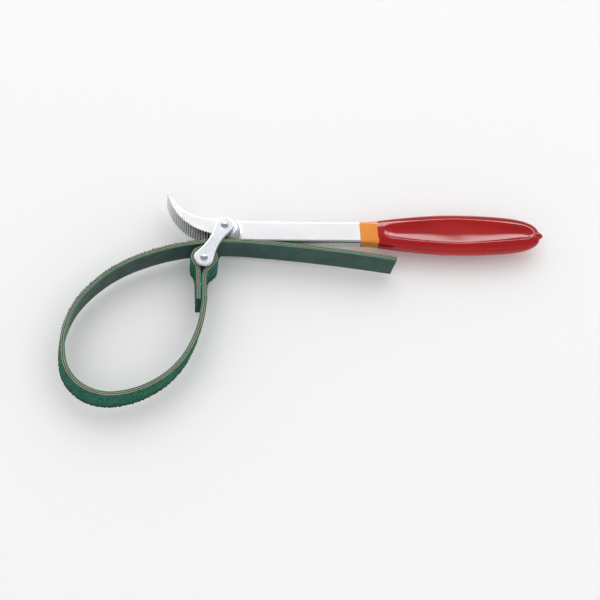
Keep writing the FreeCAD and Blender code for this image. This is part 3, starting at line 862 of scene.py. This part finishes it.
def belt_layer_tree():
    """Makes one stretch of one layer of the belt."""
    tree, given, result = new_tree("belt_layer", {
        "Start": 0.0, "End": 0.1, "Inner": 0.0, "Outer": 0.001, "Width": 0.02, "Slant": 0.0,
        "Faces along": 100, "Faces across": 40, "Faces deep": 4, "Pitch along": 0.00235,
        "Pitch across": 0.0018, "Pit depth": 0.0, "Fray": 0.0, "Finish": None})
    counts = [calc(tree, "ADD", given[label], 1.0) for label in ("Faces along", "Faces across", "Faces deep")]
    block = put(tree, "GeometryNodeMeshCube", ((1.0, 1.0, 1.0), *counts)).outputs[0]
    place = axes_of(tree, put(tree, "GeometryNodeInputPosition").outputs[0])
    share = calc(tree, "ADD", place[0], 0.5)
    short = calc(tree, "MULTIPLY", given["Slant"], calc(tree, "SUBTRACT", 0.5, place[1]))
    length = calc(tree, "SUBTRACT", calc(tree, "SUBTRACT", given["End"], given["Start"]), short)
    distance = calc(tree, "MULTIPLY_ADD", share, length, given["Start"])
    width_place = calc(tree, "MULTIPLY", place[1], given["Width"])
    thick = calc(tree, "SUBTRACT", given["Outer"], given["Inner"])
    depth_share = calc(tree, "ADD", place[2], 0.5)
    offset = calc(tree, "MULTIPLY_ADD", depth_share, thick, given["Inner"])
    outer_side = calc(tree, "GREATER_THAN", place[2], 0.49)
    pit = calc(tree, "MULTIPLY", rough_top(tree, given, distance, width_place), outer_side)
    belt = vector_of(tree, distance, width_place, offset)
    marked = keep(tree, block, "belt", belt, "FLOAT_VECTOR")
    marked = keep(tree, marked, "pit", pit)
    stored = kept(tree, "belt", "FLOAT_VECTOR")
    stored_pit = kept(tree, "pit")
    where = axes_of(tree, stored)
    ragged = put(tree, "ShaderNodeTexNoise", {"Vector": stored, "Scale": 650.0, "Detail": 2.0}).outputs[0]
    ragged = calc(tree, "MULTIPLY", calc(tree, "SUBTRACT", ragged, 0.5), given["Fray"])
    top = smooth(tree, where[2], calc(tree, "MULTIPLY_ADD", thick, 0.6, given["Inner"]), given["Outer"])
    sunk = calc(tree, "MULTIPLY", stored_pit, given["Pit depth"])
    lifted = calc(tree, "SUBTRACT", calc(tree, "MULTIPLY_ADD", ragged, top, where[2]), sunk)
    edge = calc(tree, "GREATER_THAN", calc(tree, "ABSOLUTE", where[1]),
                calc(tree, "MULTIPLY", given["Width"], 0.499))
    outward = calc(tree, "MULTIPLY", calc(tree, "SIGN", where[1]), edge)
    widened = calc(tree, "MULTIPLY_ADD", outward, calc(tree, "MULTIPLY", ragged, 0.5), where[1])
    curve = put(tree, "GeometryNodeMeshToCurve", (given["Geometry"],)).outputs[0]
    target = beside_line(tree, curve, where[0], lifted, widened)
    placed = put(tree, "GeometryNodeSetPosition", {"Geometry": marked, "Position": target}).outputs[0]
    finish_tree(tree, given, result, placed)
    return tree


belt_layer = belt_layer_tree()


# %% [markdown]
# ## Ply threads with Geometry Nodes
# The belt's strength comes from two woven plies. Where the belt is cut to width, their yarn shows
# on both edges as two beige lines, each like a tiny chain. The tree duplicates the line eight
# times: two edges, two plies and two strands that wave in opposite phase and so cross each other.

# %% Tree for the ply threads
def ply_thread_tree():
    """Makes the yarn that shows on both edges of one stretch of belt."""
    tree, given, result = new_tree("ply_threads", {
        "Start": 0.0, "End": 0.1, "Edge": 0.01, "First ply": 0.0005, "Second ply": -0.0005,
        "Sway": 0.0002, "Period": 0.0044, "Radius": 0.00015, "Step": 0.0005, "Finish": None})
    curve = put(tree, "GeometryNodeMeshToCurve", (given["Geometry"],)).outputs[0]
    trimmed = put(tree, "GeometryNodeTrimCurve", mode="LENGTH")
    fill(tree, trimmed.inputs["Curve"], curve)
    fill(tree, [socket for socket in trimmed.inputs if socket.name == "Start"][-1], given["Start"])
    fill(tree, [socket for socket in trimmed.inputs if socket.name == "End"][-1], given["End"])
    even = put(tree, "GeometryNodeResampleCurve")
    even.mode = "LENGTH"
    fill(tree, even.inputs["Curve"], trimmed.outputs[0])
    fill(tree, even.inputs["Length"], given["Step"])
    copies = put(tree, "GeometryNodeDuplicateElements", {"Geometry": even.outputs[0], "Amount": 8},
                 domain="SPLINE")
    number = copies.outputs["Duplicate Index"]
    travelled = put(tree, "GeometryNodeSplineParameter").outputs["Length"]
    marked = keep(tree, copies.outputs[0], "strand", number, domain="CURVE")
    marked = keep(tree, marked, "travelled", travelled)
    strand = kept(tree, "strand")
    gone = kept(tree, "travelled")
    phase = calc(tree, "MODULO", strand, 2.0)
    ply = calc(tree, "MODULO", calc(tree, "FLOOR", calc(tree, "DIVIDE", strand, 2.0)), 2.0)
    edge = calc(tree, "MULTIPLY_ADD", calc(tree, "FLOOR", calc(tree, "DIVIDE", strand, 4.0)), 2.0, -1.0)
    distance = calc(tree, "ADD", gone, given["Start"])
    turn = calc(tree, "MULTIPLY_ADD", calc(tree, "DIVIDE", distance, given["Period"]), 2 * math.pi,
                calc(tree, "MULTIPLY_ADD", phase, math.pi, calc(tree, "MULTIPLY", ply, 1.1)))
    line_offset = calc(tree, "MULTIPLY_ADD", calc(tree, "SUBTRACT", given["Second ply"], given["First ply"]),
                       ply, given["First ply"])
    offset = calc(tree, "MULTIPLY_ADD", calc(tree, "SINE", turn), given["Sway"], line_offset)
    bulge = calc(tree, "MULTIPLY_ADD", calc(tree, "COSINE", turn), 0.00006, given["Edge"])
    target = beside_line(tree, curve, distance, offset, calc(tree, "MULTIPLY", bulge, edge))
    placed = put(tree, "GeometryNodeSetPosition", {"Geometry": marked, "Position": target}).outputs[0]
    section = put(tree, "GeometryNodeCurvePrimitiveCircle", {"Resolution": 5, "Radius": given["Radius"]})
    tube = put(tree, "GeometryNodeCurveToMesh", {"Curve": placed, "Profile Curve": section.outputs[0],
                                                 "Fill Caps": True}).outputs[0]
    finish_tree(tree, given, result, tube)
    return tree


ply_threads = ply_thread_tree()


# %% [markdown]
# ## Belt materials
# The lining is a smooth matte green-grey rubber. The plies show on the edges as a dark band with
# a brighter green line where the lining was cut. The cover is a rough green rubber whose pits are
# painted almost black as shade. All three read the belt attribute, in metres: distance, place across and
# depth.

# %% Belt finishes
half_width = strap_width / 2
lining_edge = 0.6 * MM


def belt_place_nodes(tree):
    """Distance along, place across and depth, as the layer tree wrote them."""
    belt = put(tree, "ShaderNodeAttribute", attribute_name="belt").outputs["Vector"]
    return belt, axes_of(tree, belt)


def rubber_noise(tree, vector, scale, detail=3.0):
    return put(tree, "ShaderNodeTexNoise", {"Vector": vector, "Scale": scale, "Detail": detail}).outputs[0]


def core_finish():
    """Lining and plies."""
    material, tree, shader = new_material("belt_core")
    belt, place = belt_place_nodes(tree)
    mottled = smooth(tree, rubber_noise(tree, belt, 70.0), 0.35, 0.7)
    lining = blend_colours(tree, mottled, srgb(32, 70, 62), srgb(27, 63, 56))
    fleck = smooth(tree, rubber_noise(tree, belt, 1500.0, 1.0), 0.72, 0.80)
    lining = blend_colours(tree, fleck, lining, srgb(66, 104, 92))
    fibre = rubber_noise(tree, belt, 2600.0)
    plies = blend_colours(tree, smooth(tree, fibre, 0.3, 0.7), srgb(26, 56, 46), srgb(48, 80, 66))
    bright = blend_colours(tree, smooth(tree, fibre, 0.3, 0.7), srgb(50, 122, 98), srgb(72, 146, 120))
    lining_cut = calc(tree, "LESS_THAN", place[2], -half_strap + lining_edge)
    cut_edge = blend_colours(tree, lining_cut, plies, bright)
    on_edge = calc(tree, "GREATER_THAN", calc(tree, "ABSOLUTE", place[1]), half_width * 0.99)
    colour = blend_colours(tree, on_edge, lining, cut_edge)
    at_end = calc(tree, "LESS_THAN", place[0], 0.2 * MM)
    colour = blend_colours(tree, at_end, colour, srgb(34, 66, 54))
    fill(tree, shader.inputs["Base Color"], colour)
    bumpy(tree, shader, fibre, 0.25, 0.0002)
    rough_between(tree, shader, mottled, 0.62, 0.74)
    shader.inputs["Sheen Weight"].default_value = 0.1
    shader.inputs["Sheen Roughness"].default_value = 0.45
    return material


def cover_finish():
    """Rough outer cover, with painted shade in its pits and along its lower rim."""
    material, tree, shader = new_material("belt_cover")
    belt, place = belt_place_nodes(tree)
    pit = put(tree, "ShaderNodeAttribute", attribute_name="pit").outputs["Fac"]
    grain = rubber_noise(tree, belt, 1400.0)
    worn = smooth(tree, rubber_noise(tree, belt, 120.0), 0.3, 0.75)
    green = blend_colours(tree, worn, srgb(20, 104, 80), srgb(14, 86, 65))
    green = blend_colours(tree, smooth(tree, grain, 0.45, 0.75), green, srgb(38, 134, 106))
    # Painted shade: the pits are coloured almost black, as shade in the hollows of the rough top
    colour = blend_colours(tree, smooth(tree, pit, 0.06, 0.45), green, srgb(4, 27, 21))
    # Painted shade: the cover gets darker towards its lower rim, near the floor
    painted_lower_shade = smooth(tree, place[1], -half_width * 0.25, -half_width)
    colour = blend_colours(tree, calc(tree, "MULTIPLY", painted_lower_shade, 0.8), colour, srgb(8, 30, 24))
    fill(tree, shader.inputs["Base Color"], colour)
    bumpy(tree, shader, grain, 0.6, 0.0002)
    rough_between(tree, shader, grain, 0.7, 0.9)
    return material


def yarn_finish():
    """Beige yarn of the woven plies."""
    material, tree, shader = new_material("ply_yarn")
    place = put(tree, "ShaderNodeTexCoord").outputs["Object"]
    fuzz = rubber_noise(tree, place, 1700.0)
    tint = blend_colours(tree, smooth(tree, fuzz, 0.3, 0.7), srgb(216, 198, 174), srgb(176, 158, 134))
    fill(tree, shader.inputs["Base Color"], tint)
    bumpy(tree, shader, fuzz, 0.4, 0.0001)
    rough_between(tree, shader, fuzz, 0.75, 0.95)
    return material


belt_core = core_finish()
belt_cover = cover_finish()
ply_yarn = yarn_finish()

# %% [markdown]
# ## Growing the belt
# Seven stretches, each with its core, its rough cover and its yarn, take the place of the frame's
# strap spans, which are hidden.

# %% Grow the stretches
cover_face = 0.34 * MM
core_face = 1.2 * MM
parting = half_strap - cover_thickness
pit_depth = 0.95 * MM
loop_fray = 2.2 * MM
tail_fray = 0.9 * MM
yarn_places = {"Edge": half_width + 0.05 * MM, "First ply": 0.92 * MM, "Second ply": -0.38 * MM,
               "Radius": 0.12 * MM}


def whole_faces(length, size):
    return max(1, round(length / size))


def layer_values(start, end, slant, inner, outer, face, finish):
    """Inputs that every layer shares."""
    return {"Start": start, "End": end, "Slant": slant, "Inner": inner, "Outer": outer,
            "Width": strap_width, "Faces along": whole_faces(end - start, face),
            "Faces across": whole_faces(strap_width, face), "Finish": finish}


belt_pieces = []
for index, hinge in enumerate(hinges):
    start, end = cuts[index], cuts[index + 1]
    last = index == len(hinges) - 1
    slant = tail_slant if last else 0.0
    fray = tail_fray if last else loop_fray
    core = layer_values(start, end, slant, -half_strap, parting, core_face, belt_core)
    core["Faces deep"] = 6
    cover = layer_values(start, end, slant, parting, half_strap, cover_face, belt_cover)
    cover.update({"Faces deep": 3, "Pit depth": pit_depth, "Fray": fray})
    yarn = {"Start": start, "End": end - slant / 2, "Finish": ply_yarn}
    yarn.update(yarn_places)
    name = span_names[index] + "_to_" + span_names[index + 1]
    made = [grow("belt_core_" + name, belt_layer, line_mesh, core),
            grow("belt_cover_" + name, belt_layer, line_mesh, cover),
            grow("belt_yarn_" + name, ply_threads, line_mesh, yarn)]
    belt_pieces.append(made)

# %% Bake the stretches and hide the frame's strap spans they replace
for index, made in enumerate(belt_pieces):
    place, heading = belt_place(hinges[index])
    for piece, slot_name in zip(made, ("strap_core", "strap_cover", "thread")):
        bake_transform(piece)
    replaced = [index, index + 1] if index == 0 else [index + 1]
    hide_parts(*["strap_core_" + span_names[span] for span in replaced])
    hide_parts(*["strap_cover_" + span_names[span] for span in replaced])

# %% [markdown]
# ## Stitches
# Rows of waxed thread hold the two legs of the eye together. A stitch is a short lying capsule, so
# a tree sets one small capsule on each point of a grid on both outer faces of the legs.


# %% Tree for the stitches
def stitch_tree():
    """Rows of stitches on two faces that look away from each other along X."""
    tree, given, result = new_tree("stitch_rows", {
        "Left": 0.0, "Right": 0.01, "First row": 0.0, "Middle": 0.0, "Rows": 4, "Per row": 5,
        "Row pitch": 0.0042, "Pitch": 0.0036, "Length": 0.0026, "Radius": 0.00035, "Finish": None})
    size_across = calc(tree, "MULTIPLY", given["Pitch"], calc(tree, "SUBTRACT", given["Per row"], 1.0))
    size_up = calc(tree, "MULTIPLY", given["Row pitch"], calc(tree, "SUBTRACT", given["Rows"], 1.0))
    sizes = (size_up, size_across, given["Rows"], given["Per row"])
    grid = put(tree, "GeometryNodeMeshGrid", sizes).outputs[0]
    ball = put(tree, "GeometryNodeMeshUVSphere",
               {"Segments": 8, "Rings": 6, "Radius": given["Radius"]}).outputs[0]
    stretch = calc(tree, "DIVIDE", given["Length"], calc(tree, "MULTIPLY", given["Radius"], 2.0))
    scale = vector_of(tree, 1.0, 1.0, stretch)
    middle_row = calc(tree, "MULTIPLY_ADD", size_up, 0.5, given["First row"])
    sides = []
    for label in ("Left", "Right"):
        place = axes_of(tree, put(tree, "GeometryNodeInputPosition").outputs[0])
        moved = vector_of(tree, given[label], calc(tree, "ADD", place[0], middle_row),
                          calc(tree, "ADD", place[1], given["Middle"]))
        points = put(tree, "GeometryNodeMeshToPoints", {"Mesh": grid}).outputs[0]
        points = put(tree, "GeometryNodeSetPosition", {"Geometry": points, "Position": moved}).outputs[0]
        sides.append(put(tree, "GeometryNodeInstanceOnPoints",
                         {"Points": points, "Instance": ball, "Scale": scale}).outputs[0])
    both = put(tree, "GeometryNodeJoinGeometry")
    for side in sides:
        tree.links.new(side, both.inputs[0])
    finish_tree(tree, given, result, both.outputs[0])
    return tree


def thread_finish():
    """Dark waxed thread."""
    material, tree, shader = new_material("waxed_thread")
    twist = put(tree, "ShaderNodeTexCoord").outputs["Object"]
    ply = rubber_noise(tree, twist, 2200.0)
    fill(tree, shader.inputs["Base Color"], blend_colours(tree, ply, srgb(20, 66, 52), srgb(40, 96, 78)))
    rough_between(tree, shader, ply, 0.45, 0.7)
    return material


# %% Set the stitches
legs_middle = eye_axis.x + leg_shift
stitch_sink = 0.1 * MM
first_row = 3.5 * MM
stitches = grow("eye_stitches", stitch_tree(), line_mesh, {
    "Left": legs_middle - strap_thickness - leg_gap - leg_shift - half_strap + stitch_sink,
    "Right": legs_middle - leg_shift + half_strap - stitch_sink,
    "First row": eye_axis.y - folded_leg_end + first_row, "Middle": hub.z,
    "Pitch": strap_width / 5.5, "Finish": thread_finish()})
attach(stitches, "strap_eye")
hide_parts("eye_stitching")
